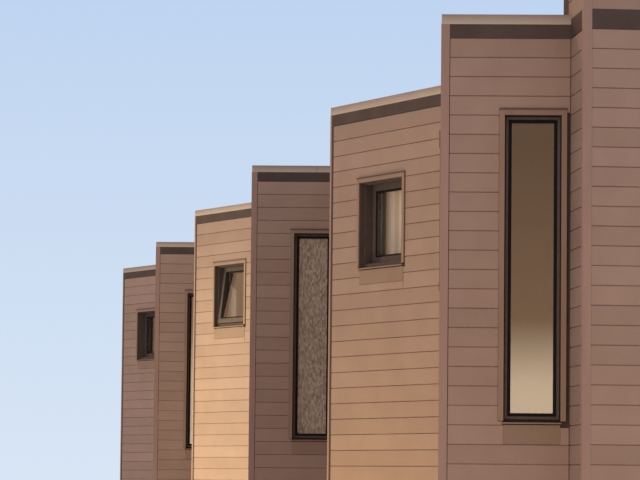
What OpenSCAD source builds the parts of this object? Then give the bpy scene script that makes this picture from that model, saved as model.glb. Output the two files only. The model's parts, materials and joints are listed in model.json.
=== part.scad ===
// Row of three flat-roofed terraced houses with a saw-tooth street front.
// Millimetres, Z up, ground at Z = 0. X runs along the street walls towards the near end,
// and the street side faces -Y. The origin lies on the ground, mid-length of the middle house.

/* [Row] */
// Length of one house along the street walls
house_len = 12000; // [11000:100:13000]
// Sideways step from one house to the next
house_step = 2200; // [2160:10:2500]
// Depth from the street wall to the rear wall
house_depth = 7500; // [6500:100:9000]

/* [Street front] */
// How far the far house's front wall stands out from its street wall
far_front_out = 1142; // [900:2:1200]
// How far the middle house's front wall stands out from its street wall
middle_front_out = 1154; // [900:2:1200]
// How far the near house's front wall stands out from its street wall
near_front_out = 1086; // [900:2:1200]
// Length of the splayed wall along the row
splay_along = 1850; // [1500:10:2200]
// Length of the street wall, from the splay to the house corner
street_len = 4430; // [4000:10:5000]

/* [End block] */
// Clear length of the near house's window face, up to the end block
last_face = 1005; // [985:5:1100]
// Turn of the end block against the houses, in degrees
end_turn = 7.5; // [5:0.5:10]
// How far the end block stands out from the near window face
end_out = 568; // [450:2:700]
// How far the end block reaches back past the near window face
end_back = 350; // [300:10:500]
// How far the end block's inner rear corner stands past the rear wall
end_past = 100; // [60:5:400]
// Width of the dark flashing on the end block's inner edge, above the roof
end_strip_w = 225; // [150:5:280]
// Height of the end block's walls above ground
end_top = 6900; // [6600:50:7500]

/* [Walls] */
// Thickness of an outer wall with its cladding
wall_t = 250; // [220:5:300]
// Thickness of the board cladding in front of the structure
clad_t = 18; // [14:1:25]
// Thickness of a party wall
party_t = 250; // [200:10:300]
// Thickness of the end block's walls with their cladding
end_wall_t = 180; // [150:5:220]

/* [Levels] */
// Top of the ground slab
slab_top = 150; // [100:10:250]
// Level of the upper floor
upper_level = 2950; // [2850:10:3050]
// Thickness of the upper floor
floor_t = 250; // [200:10:300]
// Top of the roof deck
roof_level = 5900; // [5860:10:6000]
// Thickness of the roof deck
roof_t = 250; // [200:10:280]
// Top of the outer walls, under the coping
parapet_top = 6257; // [6200:1:6400]

/* [Trim] */
// Height of the metal coping
coping_h = 77; // [50:1:100]
// Overhang of the coping past the wall faces
coping_lip = 0; // [0:1:20]
// Height of the drip along the coping's lower edge
drip_h = 18; // [10:1:30]
// How far the drip stands out from the coping's face
drip_out = 2; // [1:1:10]
// Height of the dark band under the coping
band_h = 107; // [80:1:140]
// Height of the dark band on the end block
end_band_h = 150; // [120:1:180]
// How far the dark band stands proud of the cladding
band_proud = 1; // [1:1:8]
// Width of a corner board on each face
corner_w = 63; // [50:1:90]
// Width of the thin corner board on the splayed wall
splay_corner_w = 30; // [20:1:50]
// How far a corner board stands proud of the cladding
corner_proud = 3; // [2:1:12]

/* [Windows] */
// Width of the tall window
tall_w = 440; // [400:10:460]
// Height of the tall window
tall_h = 2380; // [2300:10:2390]
// Height of the tall window on the lower storey
low_tall_h = 2000; // [1800:10:2050]
// Distance of the tall window from the house corner
tall_x = 495; // [480:5:500]
// Width of the small window
small_w = 830; // [700:10:900]
// Height of the small window
small_h = 820; // [700:10:900]
// Distance of the small window from the splay's far corner
small_x = 600; // [500:10:700]
// Width of a plain window
plain_w = 1200; // [1000:50:1400]
// Height of a plain window
plain_h = 1200; // [1000:50:1300]
// Height of the upper window heads above ground
upper_head = 5550; // [5500:10:5600]
// Height of the lower window heads above ground
lower_head = 2400; // [2350:10:2450]
// Width of the facing round a window
facing_w = 42; // [35:1:60]
// How far a facing stands proud of the cladding
facing_proud = 10; // [5:1:15]
// Depth of the reveal in front of a fixed window's frame, and of a door
reveal = 70; // [50:5:90]
// Width of the open gap round the front of a fixed frame
frame_gap = 8; // [5:1:12]
// Height of the open gap under the front of a fixed frame
frame_foot = 24; // [15:1:30]
// Depth of the gap round a fixed frame
frame_lip = 30; // [20:1:40]
// Width of a fixed window's frame
frame_w = 22; // [18:1:40]
// Depth of a fixed window's frame, and of a door frame
frame_d = 70; // [60:5:80]
// Width of the glazing bead inside a frame
bead_w = 26; // [15:1:35]
// How far the glazing bead lies behind the face of its frame
bead_set = 12; // [5:1:20]
// Thickness of the lining in front of an opening window's frame
liner_t = 6; // [4:1:10]
// Depth of the lining in front of an opening window's frame
lining_d = 48; // [30:2:70]
// Width of an opening window's outer frame at its sides
outer_side = 25; // [15:1:35]
// Width of an opening window's outer frame at its head
outer_head = 18; // [12:1:30]
// Width of an opening window's outer frame at its foot
outer_foot = 42; // [25:1:60]
// Depth of the face of a closed sash in the wall
sash_reveal = 127; // [115:1:140]
// Width of a sash's rails
sash_w = 60; // [45:1:70]
// Width of the glazing bead inside a sash
sash_bead_w = 18; // [10:1:25]
// Depth of a sash
sash_d = 46; // [42:1:50]
// How far the glass lies behind the face of its sash
sash_set = 16; // [10:1:20]
// Turn of the sash that stands open, in degrees
open_turn = 7; // [2:0.5:9]
// Thickness of the double glazing
glass_t = 24; // [18:1:30]
// Height of a window sill
sill_h = 12; // [8:1:35]
// How far a sill stands out from the cladding
sill_out = 14; // [8:1:30]
// Height of the shadow gap between a sill and the foot of its facings
leg_gap = 10; // [5:1:15]

/* [Doors] */
// Width of a door opening
door_w = 1000; // [900:10:1100]
// Height of a door opening
door_h = 2200; // [2100:10:2250]
// Thickness of a door leaf
leaf_t = 50; // [40:2:60]
// Width of a door's frame
door_frame_w = 58; // [45:1:70]
// Width of the rails and stiles round a leaf's panels
rail_w = 130; // [90:5:160]
// Depth of a leaf's panels
panel_set = 8; // [4:1:12]

/* [Curtain] */
// Width of the curtain
curtain_w = 1130; // [950:10:1200]
// Thickness of the curtain with its folds
curtain_t = 50; // [30:5:80]
// Gap between the curtain's top and the ceiling
curtain_gap = 40; // [20:5:60]
// Length of the curtain below the window's foot
curtain_drop = 80; // [40:5:150]

/* [Hidden] */
houses = 3;
near = houses - 1;
house_names = ["far", "middle", "near"];
wall_kinds = ["front_wall", "splay_wall", "street_wall", "return_wall"];
cut = 1;
coping_joint = 0.5;
band_gap = 1;
slab_joint = 8;
mitre_gap = 1;
flashing_t = 6;
flashing_out = 10;
flashing_past = 3;
sill_past = 8;
sill_fall = 3;
seat_gap = 0.3;
sash_gap = 3;
stop_w = 18;
stop_d = 20;
panels = 3;
front_outs = [far_front_out, middle_front_out, near_front_out];
threshold_h = 20;
open_house = 1;

boards = "rosybrown";
concrete = "silver";
dark_metal = "dimgray";
pale_metal = "tan";

// Plan of one house: its near party line, its street wall line and its rear line
function party_x(h) = (h + 0.5 - near / 2) * house_len;
function street_y(h) = (h - near / 2) * house_step - house_depth / 2;
function front_y(h) = street_y(h) - front_outs[max(h, 0)];
function rear_y(h) = street_y(h) + house_depth;

// Corners of the street front of one house, on the face of the cladding
function front_points(h) = [
    [party_x(h - 1), front_y(h)],
    [party_x(h) - street_len - splay_along, front_y(h)],
    [party_x(h) - street_len, street_y(h)],
    [party_x(h), street_y(h)]
];
last_corner = [party_x(near), street_y(near) + last_face];
row_path = [for (h = [0 : near]) each front_points(h), last_corner];
function first_point(h) = len(wall_kinds) * h;

// Outer corner of the far party wall, which the far house's cladding covers
far_start = [party_x(-1) - party_t, front_y(0)];

// Unit vector along a stretch, its normal to the inside, and a point set in by d at a corner
function along(p, q) = (q - p) / norm(q - p);
function inward(p, q) = let (a = along(p, q)) [-a.y, a.x];
function set_in(before, at, after, d) =
    let (n1 = inward(before, at), n2 = inward(at, after)) at + d * (n1 + n2) / (1 + n1 * n2);

// The row's first point ends square and its last one follows the turned end block
function row_point(i, d) =
    i == 0 ? row_path[0] + d * inward(row_path[0], row_path[1])
    : i == len(row_path) - 1 ? [last_corner.x - d, last_corner.y - d * tan(end_turn) + clad_t / cos(end_turn)]
    : set_in(row_path[i - 1], row_path[i], row_path[i + 1], d);
function row_strip(from, to, d0, d1) = concat(
    [for (i = [from : to]) row_point(i, d0)],
    [for (i = [to : -1 : from]) row_point(i, d1)]
);

// The end block is a rectangle turned about the corner where it meets the near house
end_u = [cos(end_turn), sin(end_turn)];
end_v = [-sin(end_turn), cos(end_turn)];
end_depth = (rear_y(near) + end_past - last_corner.y + end_back * sin(end_turn)) / cos(end_turn);
end_path = [
    last_corner - end_back * end_u,
    last_corner + end_out * end_u,
    last_corner + end_out * end_u + end_depth * end_v,
    last_corner - end_back * end_u + end_depth * end_v
];
function end_point(i, d) = set_in(
    end_path[(i + 3) % 4], end_path[i % 4], end_path[(i + 1) % 4], d);
function end_side(i, d0, d1) = [
    end_point(i, d0),
    end_point(i + 1, d0),
    end_point(i + 1, d1),
    end_point(i, d1)
];

// Where the end block's inner face crosses the line of a given y
function end_face_x(y, d) = let (p = end_point(0, d)) p.x - (y - p.y) * tan(end_turn);

// Openings of each wall, as [distance along the wall, sill height, width, height, what fills it]
front_len = house_len - splay_along - street_len;
front_holes = [
    [front_len * 0.25 - door_w / 2, slab_top, door_w, door_h, "door"],
    [front_len * 0.7 - plain_w / 2, lower_head - plain_h, plain_w, plain_h, "fixed"],
    [front_len * 0.25 - plain_w / 2, upper_head - plain_h, plain_w, plain_h, "fixed"],
    [front_len * 0.7 - plain_w / 2, upper_head - plain_h, plain_w, plain_h, "fixed"]
];
splay_holes = [
    [small_x, lower_head - small_h, small_w, small_h, "sash"],
    [small_x, upper_head - small_h, small_w, small_h, "sash"]
];
street_holes = [
    [street_len * 0.5 - plain_w / 2, lower_head - plain_h, plain_w, plain_h, "fixed"],
    [street_len * 0.5 - plain_w / 2, upper_head - plain_h, plain_w, plain_h, "fixed"]
];
return_holes = [
    [tall_x, lower_head - low_tall_h, tall_w, low_tall_h, "fixed"],
    [tall_x, upper_head - tall_h, tall_w, tall_h, "fixed"]
];
rear_bays = [0.18, 0.5, 0.82];
rear_holes = concat(
    [for (bay = rear_bays) [house_len * bay - plain_w / 2, upper_head - plain_h, plain_w, plain_h, "fixed"]],
    [for (bay = [rear_bays[0], rear_bays[2]])
        [house_len * bay - plain_w / 2, lower_head - plain_h, plain_w, plain_h, "fixed"]],
    [[house_len * rear_bays[1] - door_w / 2, slab_top, door_w, door_h, "door"]]
);
wall_holes = [front_holes, splay_holes, street_holes, return_holes];

// Puts a child on a wall: x along the wall, y into it, z up
module on_stretch(p, q) {
    a = along(p, q);
    translate([p.x, p.y, 0]) rotate([0, 0, atan2(a.y, a.x)]) children();
}

module on_row_wall(h, side) {
    i = first_point(h) + side;
    on_stretch(row_path[i], row_path[i + 1]) children();
}

// The rear wall is seen from outside, so its x starts at the party line on the near side
module on_rear_wall(h) {
    on_stretch([party_x(h), rear_y(h)], [party_x(h - 1), rear_y(h)]) children();
}

module slab(points, bottom, top) {
    translate([0, 0, bottom]) linear_extrude(top - bottom) polygon(points);
}

module cut_hole(hole) {
    inset_box(hole, 0, -cut, wall_t + cut);
}

// The space of an opening less an inset on each side, from one depth in the wall to another
module inset_box(hole, inset, y0, y1) {
    translate([hole[0] + inset, y0, hole[1] + inset])
        cube([hole[2] - 2 * inset, y1 - y0, hole[3] - 2 * inset]);
}

// Stands an outline given in x and z upright, from one depth in the wall to another
module upright(points, y0, y1) {
    translate([0, y1, 0]) rotate([90, 0, 0]) linear_extrude(y1 - y0) polygon(points);
}

// Runs a section given in y and z along x
module moulding(points, length) {
    rotate([90, 0, 90]) linear_extrude(length) polygon(points);
}

// Ground slab under each house, with its edge on the line of the structure and a joint between houses
module ground_slab() {
    front = [for (i = [0 : len(row_path) - 1]) row_point(i, clad_t)];
    block = [for (i = [1 : 3]) end_point(i, clad_t)];
    back_line = rear_y(near) - clad_t;
    rear = [for (h = [near : -1 : 0]) each [
        [h == near ? end_face_x(back_line, clad_t) : party_x(h) - party_t, rear_y(h) - clad_t],
        [party_x(h - 1) - party_t, rear_y(h) - clad_t]
    ]];
    far_corner = [[far_start.x, far_start.y + clad_t]];
    color(concrete) difference() {
        slab(concat(front, block, rear, far_corner), 0, slab_top);
        for (h = [0 : near - 1]) translate([party_x(h) - clad_t, street_y(h), -cut])
            cube([slab_joint, rear_y(h + 1) - street_y(h), slab_top + 2 * cut]);
    }
}

// Party walls stand on the slab and end under the coping
module party_wall(h) {
    start = h < 0 ? front_y(0) + clad_t : front_y(h + 1) + wall_t;
    finish = rear_y(h + 1) - clad_t;
    color(concrete) translate([party_x(h) - party_t, start, slab_top])
        cube([party_t, finish - start, parapet_top - slab_top]);
}

module front_wall(h, side) {
    i = first_point(h) + side;
    color(boards) difference() {
        slab(row_strip(i, i + 1, clad_t, wall_t), slab_top, parapet_top);
        on_row_wall(h, side) for (hole = wall_holes[side]) cut_hole(hole);
    }
}

module rear_wall(h) {
    out = rear_y(h) - clad_t;
    inner = rear_y(h) - wall_t;
    near_x = party_x(h) - party_t;
    points = [
        [party_x(h - 1), out],
        [party_x(h - 1), inner],
        [h == near ? end_face_x(inner, clad_t) : near_x, inner],
        [h == near ? end_face_x(out, clad_t) : near_x, out]
    ];
    color(boards) difference() {
        slab(points, slab_top, parapet_top);
        on_rear_wall(h) for (hole = rear_holes) cut_hole(hole);
    }
}

// Clear plan of a house between its walls
function room_points(h) = let (
        i = first_point(h),
        inner = rear_y(h) - wall_t,
        front = [for (k = [i + 1 : i + 3]) row_point(k, wall_t)],
        near_side = h == near
            ? [row_point(i + 4, wall_t), end_point(0, clad_t), [end_face_x(inner, clad_t), inner]]
            : [[party_x(h) - party_t, inner]]
    ) concat([[party_x(h - 1), front_y(h) + wall_t]], front, near_side, [[party_x(h - 1), inner]]);

module upper_floor(h) {
    color("wheat") slab(room_points(h), upper_level - floor_t, upper_level);
}

module roof_deck(h) {
    color("gray") slab(room_points(h), roof_level - roof_t, roof_level);
}

// Folded metal coping on the outer walls, the rear wall and the party walls of a house
module coping(h) {
    drip_top = parapet_top + drip_h;
    color(pale_metal) {
        coping_layer(h, coping_lip + drip_out, parapet_top, drip_top);
        coping_layer(h, coping_lip, drip_top, parapet_top + coping_h);
    }
}

module coping_layer(h, lip, bottom, top) {
    i = first_point(h);
    out = rear_y(h) + lip;
    inner = rear_y(h) - wall_t - lip;
    near_x = party_x(h) - party_t - lip;
    rear_points = [
        [party_x(h - 1) + lip, out],
        [party_x(h - 1) + lip, inner],
        [h == near ? end_face_x(inner, 0) : near_x, inner],
        [h == near ? end_face_x(out, 0) : near_x, out]
    ];
    slab(row_strip(i, i + len(wall_kinds), -lip, wall_t + lip), bottom, top);
    slab(rear_points, bottom, top);
    if (h < near) slab(party_strip(h, lip), bottom, top);
    if (h == 0) slab(party_strip(-1, lip), bottom, top);
}

// Plan of a party wall's coping
function party_strip(h, lip) = let (
        start = h < 0 ? front_y(0) - lip : front_y(h + 1) + wall_t + lip + coping_joint,
        finish = rear_y(h + 1) + lip,
        far_x = party_x(h) - party_t - lip,
        near_x = party_x(h) + lip
    ) [[far_x, start], [near_x, start], [near_x, finish], [far_x, finish]];

// A strip that follows an outline, from one distance before its first corner to one past its last
function strip(points, d0, d1) = let (last = len(points) - 1) concat(
    [for (i = [0 : last]) strip_point(points, i, d0)],
    [for (i = [last : -1 : 0]) strip_point(points, i, d1)]
);
function strip_point(points, i, d) =
    i == 0 ? points[0] + d * inward(points[0], points[1])
    : i == len(points) - 1 ? points[i] + d * inward(points[i - 1], points[i])
    : set_in(points[i - 1], points[i], points[i + 1], d);
function past(at, towards, d) = at + d * along(at, towards);

// Dark bands under the coping, between the corner boards, and a taller one on the end block,
// with the dark flashings over the window heads and on the end block's inner edge
module fascia_bands() {
    thin = splay_corner_w;
    count = len(wall_kinds);
    color(dark_metal) {
        for (h = [0 : near]) {
            q = [for (k = [0 : count]) row_path[first_point(h) + k]];
            before = h == 0
                ? [past(far_start, q[1], corner_w)]
                : [past(row_path[first_point(h) - 1], q[0], corner_w), q[0]];
            band(concat(before, [past(q[1], q[0], corner_w)]));
            band([past(q[1], q[2], thin), q[2], past(q[3], q[2], corner_w)]);
        }
        band([past(row_path[len(row_path) - 2], last_corner, corner_w), last_corner]);
        for (h = [0 : near]) let (start = rear_start(h), finish = rear_finish(h))
            band([start, past(finish, start, corner_w)]);
        end_band([last_corner + band_gap * end_u, past(end_path[1], end_path[0], corner_w)]);
        end_band([past(end_path[1], end_path[2], corner_w), past(end_path[2], end_path[1], corner_w)]);
        end_flashing();
        for (h = [0 : near]) each_opening(h, "flashing");
    }
}

// Ends of a house's rear cladding, which covers the end of the party wall on its far side
function rear_start(h) = [h == near ? end_face_x(rear_y(h), 0) : party_x(h) - party_t, rear_y(h)];
function rear_finish(h) = [party_x(h - 1) - party_t, rear_y(h)];

// Dark flashing on the end block's inner edge, above the coping that runs into it
module end_flashing() {
    points = strip([end_path[0], past(end_path[0], end_path[1], end_strip_w)], -band_proud, clad_t);
    slab(points, parapet_top + coping_h, end_top);
}

module band(points) {
    slab(strip(points, -band_proud, clad_t), parapet_top - band_h, parapet_top);
}

module end_band(points) {
    bottom = parapet_top - band_h;
    slab(strip(points, -band_proud, clad_t), bottom, bottom + end_band_h);
}

// An angle board over an outside corner, with its own width on each face
module corner_board(before, at, after, widths, top) {
    n1 = inward(before, at);
    n2 = inward(at, after);
    start = past(at, before, widths[0]);
    finish = past(at, after, widths[1]);
    points = [
        start - corner_proud * n1,
        set_in(before, at, after, -corner_proud),
        finish - corner_proud * n2,
        finish + clad_t * n2,
        set_in(before, at, after, clad_t),
        start + clad_t * n1
    ];
    slab(points, slab_top, top);
}

// A flat board on the last stretch of a face, up to its end
module end_board(finish, from) {
    slab(strip([past(finish, from, corner_w), finish], -corner_proud, clad_t), slab_top, parapet_top);
}

module corner_boards() {
    color(boards) {
        slab(strip([far_start, past(far_start, row_path[1], corner_w)], -corner_proud, clad_t),
            slab_top, parapet_top);
        for (h = [0 : near]) end_board(rear_finish(h), rear_start(h));
        for (h = [0 : near]) {
            i = first_point(h);
            corner_board(row_path[i], row_path[i + 1], row_path[i + 2],
                [corner_w, splay_corner_w], parapet_top);
            corner_board(row_path[i + 2], row_path[i + 3], row_path[i + 4],
                [corner_w, corner_w], parapet_top);
        }
        for (i = [1, 2]) corner_board(end_path[i - 1], end_path[i], end_path[i + 1],
            [corner_w, corner_w], end_top);
    }
}

// Mitred facing boards round an opening, with a sill under a window
module facing(hole) {
    door = hole[4] == "door";
    x0 = hole[0];
    x1 = x0 + hole[2];
    z0 = hole[1] + (door ? 0 : leg_gap);
    z1 = hole[1] + hole[3];
    w = facing_w;
    gap = mitre_gap;
    out = facing_proud;
    upright([[x0 - w, z0], [x0, z0], [x0, z1 - gap], [x0 - w, z1 + w - gap]], -out, clad_t);
    upright([[x1, z0], [x1 + w, z0], [x1 + w, z1 + w - gap], [x1, z1 - gap]], -out, clad_t);
    upright([[x0, z1], [x1, z1], [x1 + w, z1 + w], [x0 - w, z1 + w]], -out, clad_t);
    if (!door) sill(hole);
}

// Dark flashing on top of the facing at the head of an opening
module head_flashing(hole) {
    past = facing_w + flashing_past;
    out = facing_proud + flashing_out;
    translate([hole[0] - past, -out, hole[1] + hole[3] + facing_w])
        cube([hole[2] + 2 * past, out + clad_t, flashing_t]);
}

// Thin sill with a fall on its top
module sill(hole) {
    translate([hole[0] - sill_past, 0, hole[1]]) moulding([
        [clad_t, 0],
        [0, 0],
        [-sill_out, -sill_fall],
        [-sill_out, -sill_h],
        [clad_t, -sill_h]
    ], hole[2] + 2 * sill_past);
}

// What is left of an opening inside a border with its own width at the sides, foot and head
function within(hole, side, foot, head) = [
    hole[0] + side, hole[1] + foot, hole[2] - 2 * side, hole[3] - foot - head, hole[4]
];
function fixed_face(hole) = within(hole, frame_gap, frame_foot, frame_gap);
function fixed_light(hole) = let (edge = frame_w + bead_w) within(fixed_face(hole), edge, edge, edge);

// Fixed window: the frame's front stands in an open gap, and its bead steps back to the glass
module fixed_frame(hole) {
    back = reveal + frame_d;
    difference() {
        union() {
            inset_box(hole, 0, reveal + frame_lip, back);
            inset_box(fixed_face(hole), 0, reveal, back);
        }
        inset_box(fixed_face(hole), frame_w, reveal - cut, reveal + bead_set);
        inset_box(fixed_light(hole), 0, reveal - cut, back + cut);
    }
}

// Opening window: a lining, then an outer frame with a stop behind the sash
function sash_space(hole) = within(hole, outer_side, outer_foot, outer_head);
module outer_frame(hole) {
    stop = sash_reveal + sash_d + seat_gap;
    difference() {
        inset_box(hole, 0, 0, stop + stop_d);
        inset_box(hole, liner_t, -cut, lining_d);
        inset_box(sash_space(hole), 0, -cut, stop);
        inset_box(sash_space(hole), stop_w, -cut, stop + stop_d + cut);
    }
}

// A sash hangs from the front edge of its head, so it opens outwards at its foot
function sash_size(hole) = let (space = sash_space(hole)) [
    space[2] - 2 * sash_gap,
    space[3] - seat_gap - sash_gap
];

module at_sash(hole, turn) {
    space = sash_space(hole);
    translate([space[0] + sash_gap, sash_reveal, space[1] + space[3] - seat_gap]) rotate([-turn, 0, 0])
        translate([0, 0, -sash_size(hole).y]) children();
}

// A sash and its pane are cut on a leaf of their own, with depths from its face
function leaf(hole) = [0, 0, sash_size(hole).x, sash_size(hole).y];
module sash(hole, turn) {
    at_sash(hole, turn) difference() {
        inset_box(leaf(hole), 0, 0, sash_d);
        inset_box(leaf(hole), sash_w, -cut, bead_set);
        inset_box(leaf(hole), sash_w + sash_bead_w, -cut, sash_d + cut);
    }
}

module sash_pane(hole, turn) {
    at_sash(hole, turn) inset_box(leaf(hole), sash_w + sash_bead_w, sash_set, sash_set + glass_t);
}

module fixed_pane(hole) {
    front = reveal + (frame_d - glass_t) / 2;
    inset_box(fixed_light(hole), 0, front, front + glass_t);
}

// Makes one part of every window of a house, and of its doors where the part goes round them too
module each_opening(h, part) {
    for (side = [0 : 3]) on_row_wall(h, side)
        for (hole = wall_holes[side]) opening_part(h, hole, part);
    on_rear_wall(h) for (hole = rear_holes) opening_part(h, hole, part);
}

// The middle house's upper small window stands open
module opening_part(h, hole, part) {
    fill = hole[4];
    turn = h == open_house && hole[1] > upper_level ? open_turn : 0;
    if (part == "facing") facing(hole);
    if (part == "flashing") head_flashing(hole);
    if (part == "frame" && fill == "fixed") fixed_frame(hole);
    if (part == "frame" && fill == "sash") {
        outer_frame(hole);
        sash(hole, turn);
    }
    if (part == "glass" && fill == "fixed") fixed_pane(hole);
    if (part == "glass" && fill == "sash") sash_pane(hole, turn);
    if (part == "door" && fill == "door") door_set(hole);
}

module window_facings(h) {
    color(boards) each_opening(h, "facing");
}

module window_frames(h) {
    color("darkslategray") each_opening(h, "frame");
}

module window_glass(h) {
    color("lightblue") each_opening(h, "glass");
}

// Door frames with their leaves, closed
module doors() {
    color("saddlebrown") for (h = [0 : near]) each_opening(h, "door");
}

module door_set(hole) {
    difference() {
        inset_box(hole, 0, reveal, reveal + frame_d);
        translate([hole[0] + door_frame_w, reveal - cut, hole[1] + threshold_h])
            cube([hole[2] - 2 * door_frame_w, frame_d + 2 * cut, hole[3] - door_frame_w - threshold_h]);
    }
    door_leaf(hole);
}

// The leaf stands on its threshold and has a row of sunk panels
module door_leaf(hole) {
    w = hole[2] - 2 * (door_frame_w + sash_gap);
    h = hole[3] - door_frame_w - threshold_h - seat_gap - sash_gap;
    panel_h = (h - (panels + 1) * rail_w) / panels;
    translate([hole[0] + door_frame_w + sash_gap, reveal, hole[1] + threshold_h + seat_gap]) difference() {
        cube([w, leaf_t, h]);
        for (i = [0 : panels - 1]) translate([rail_w, -cut, rail_w + i * (panel_h + rail_w)])
            cube([w - 2 * rail_w, panel_set + cut, panel_h]);
    }
}

// Short curtain inside the near house's upper small window, on a rail fixed to the wall
module curtain() {
    hole = splay_holes[1];
    foot = hole[1] - curtain_drop;
    top = roof_level - roof_t - curtain_gap;
    color("linen") on_row_wall(near, 1)
        translate([hole[0] + (hole[2] - curtain_w) / 2, wall_t + seat_gap, foot])
        cube([curtain_w, curtain_t, top - foot]);
}

module end_wall(side) {
    color(boards) slab(end_side(side, clad_t, end_wall_t), slab_top, end_top);
}

module end_cap() {
    color(pale_metal) {
        slab([for (i = [0 : 3]) end_point(i, -coping_lip - drip_out)], end_top, end_top + drip_h);
        slab([for (i = [0 : 3]) end_point(i, -coping_lip)], end_top + drip_h, end_top + coping_h);
    }
}

NODES = [
    "ground_slab", "far_party_wall", "far_middle_party_wall", "middle_near_party_wall",
    "far_front_wall", "far_splay_wall", "far_street_wall", "far_return_wall", "far_rear_wall",
    "far_upper_floor", "far_roof_deck", "far_coping",
    "far_window_facings", "far_window_frames", "far_window_glass",
    "middle_front_wall", "middle_splay_wall", "middle_street_wall", "middle_return_wall", "middle_rear_wall",
    "middle_upper_floor", "middle_roof_deck", "middle_coping",
    "middle_window_facings", "middle_window_frames", "middle_window_glass",
    "near_front_wall", "near_splay_wall", "near_street_wall", "near_return_wall", "near_rear_wall",
    "near_upper_floor", "near_roof_deck", "near_coping",
    "near_window_facings", "near_window_frames", "near_window_glass",
    "end_return_wall", "end_gable_wall", "end_rear_wall", "end_inner_wall", "end_cap",
    "fascia_bands", "corner_boards", "doors", "near_curtain"
];
node = "all";

function wanted(name) = node == "all" || node == name;

if (wanted("ground_slab")) ground_slab();
if (wanted("far_party_wall")) party_wall(-1);
if (wanted("far_middle_party_wall")) party_wall(0);
if (wanted("middle_near_party_wall")) party_wall(1);
for (h = [0 : near]) {
    for (side = [0 : 3]) if (wanted(str(house_names[h], "_", wall_kinds[side]))) front_wall(h, side);
    if (wanted(str(house_names[h], "_rear_wall"))) rear_wall(h);
    if (wanted(str(house_names[h], "_upper_floor"))) upper_floor(h);
    if (wanted(str(house_names[h], "_roof_deck"))) roof_deck(h);
    if (wanted(str(house_names[h], "_coping"))) coping(h);
    if (wanted(str(house_names[h], "_window_facings"))) window_facings(h);
    if (wanted(str(house_names[h], "_window_frames"))) window_frames(h);
    if (wanted(str(house_names[h], "_window_glass"))) window_glass(h);
}
if (wanted("end_return_wall")) end_wall(0);
if (wanted("end_gable_wall")) end_wall(1);
if (wanted("end_rear_wall")) end_wall(2);
if (wanted("end_inner_wall")) end_wall(3);
if (wanted("end_cap")) end_cap();
if (wanted("fascia_bands")) fascia_bands();
if (wanted("corner_boards")) corner_boards();
if (wanted("doors")) doors();
if (wanted("near_curtain")) curtain();
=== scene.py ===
import json
import math
import random
from collections import namedtuple

import bpy
from mathutils import Matrix, Vector

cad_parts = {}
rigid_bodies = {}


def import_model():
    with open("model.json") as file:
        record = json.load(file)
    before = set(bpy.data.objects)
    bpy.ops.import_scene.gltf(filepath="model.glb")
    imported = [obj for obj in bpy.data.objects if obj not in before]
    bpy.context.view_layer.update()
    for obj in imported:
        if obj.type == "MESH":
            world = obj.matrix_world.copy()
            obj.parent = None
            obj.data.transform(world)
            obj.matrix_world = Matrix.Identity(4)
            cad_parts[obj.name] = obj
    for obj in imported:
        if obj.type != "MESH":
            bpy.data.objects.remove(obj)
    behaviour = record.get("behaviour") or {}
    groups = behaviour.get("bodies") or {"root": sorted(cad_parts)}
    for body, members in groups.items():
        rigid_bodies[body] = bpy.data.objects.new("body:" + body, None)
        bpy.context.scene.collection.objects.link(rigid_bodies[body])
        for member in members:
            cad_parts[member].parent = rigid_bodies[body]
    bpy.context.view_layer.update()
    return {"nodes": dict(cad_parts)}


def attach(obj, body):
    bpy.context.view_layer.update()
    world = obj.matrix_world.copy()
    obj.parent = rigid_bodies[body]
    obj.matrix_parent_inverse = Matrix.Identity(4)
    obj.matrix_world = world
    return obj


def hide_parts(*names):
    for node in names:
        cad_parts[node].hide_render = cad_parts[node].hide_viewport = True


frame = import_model()
nodes = frame["nodes"]

# Ground slab
# Cast concrete under each house, struck off level and left as it came out of the formwork.
# Only its edge shows, 150 mm high under the first board.


def colour(hex_code):
    """The linear colour of an sRGB hex code."""
    parts = [int(hex_code[i:i + 2], 16) / 255 for i in (1, 3, 5)]
    return [p / 12.92 if p <= 0.04045 else ((p + 0.055) / 1.055) ** 2.4 for p in parts] + [1.0]


def feed(socket, source):
    """Feeds an input from a node's first output in use, from one output or with a plain value."""
    if isinstance(source, bpy.types.Node):
        source = next(output for output in source.outputs if output.enabled)
    if isinstance(source, bpy.types.NodeSocket):
        socket.id_data.links.new(source, socket)
    else:
        socket.default_value = source


def add(tree, kind, inputs=(), stops=(), **settings):
    """Adds a node with its settings, feeds its inputs in order or by name, and sets a ramp's stops."""
    node = tree.nodes.new(kind)
    for name, value in settings.items():
        setattr(node, name, value)
    for key, source in (inputs if isinstance(inputs, dict) else dict(enumerate(inputs))).items():
        feed(node.inputs[key], source)
    for i, (position, hex_code) in enumerate(stops):
        ramp = node.color_ramp.elements
        stop = ramp[i] if i < len(ramp) else ramp.new(position)
        stop.position = position
        stop.color = colour(hex_code)
    return node


def new_material(name, roughness, specular=0.5, numbers=None):
    """A material with its node tree, its shader's inputs and its Object coordinates."""
    made = bpy.data.materials.new(name)
    made.use_nodes = True
    surface = made.node_tree.nodes["Principled BSDF"].inputs
    for key, value in {"Roughness": roughness, "Specular IOR Level": specular, **(numbers or {})}.items():
        surface[key].default_value = value
    place = add(made.node_tree, "ShaderNodeTexCoord").outputs["Object"]
    return made, made.node_tree, surface, place


def clouds(tree, place, size_mm, stretch=(1, 1, 1)):
    """Cloudy noise from 0 to 1 with blobs about size_mm across, stretched along each axis."""
    scaled = add(tree, "ShaderNodeMapping", {"Vector": place, "Scale": [1 / s for s in stretch]})
    return add(tree, "ShaderNodeTexNoise", {"Vector": scaled, "Scale": 1000 / size_mm, "Detail": 4.0})


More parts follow.
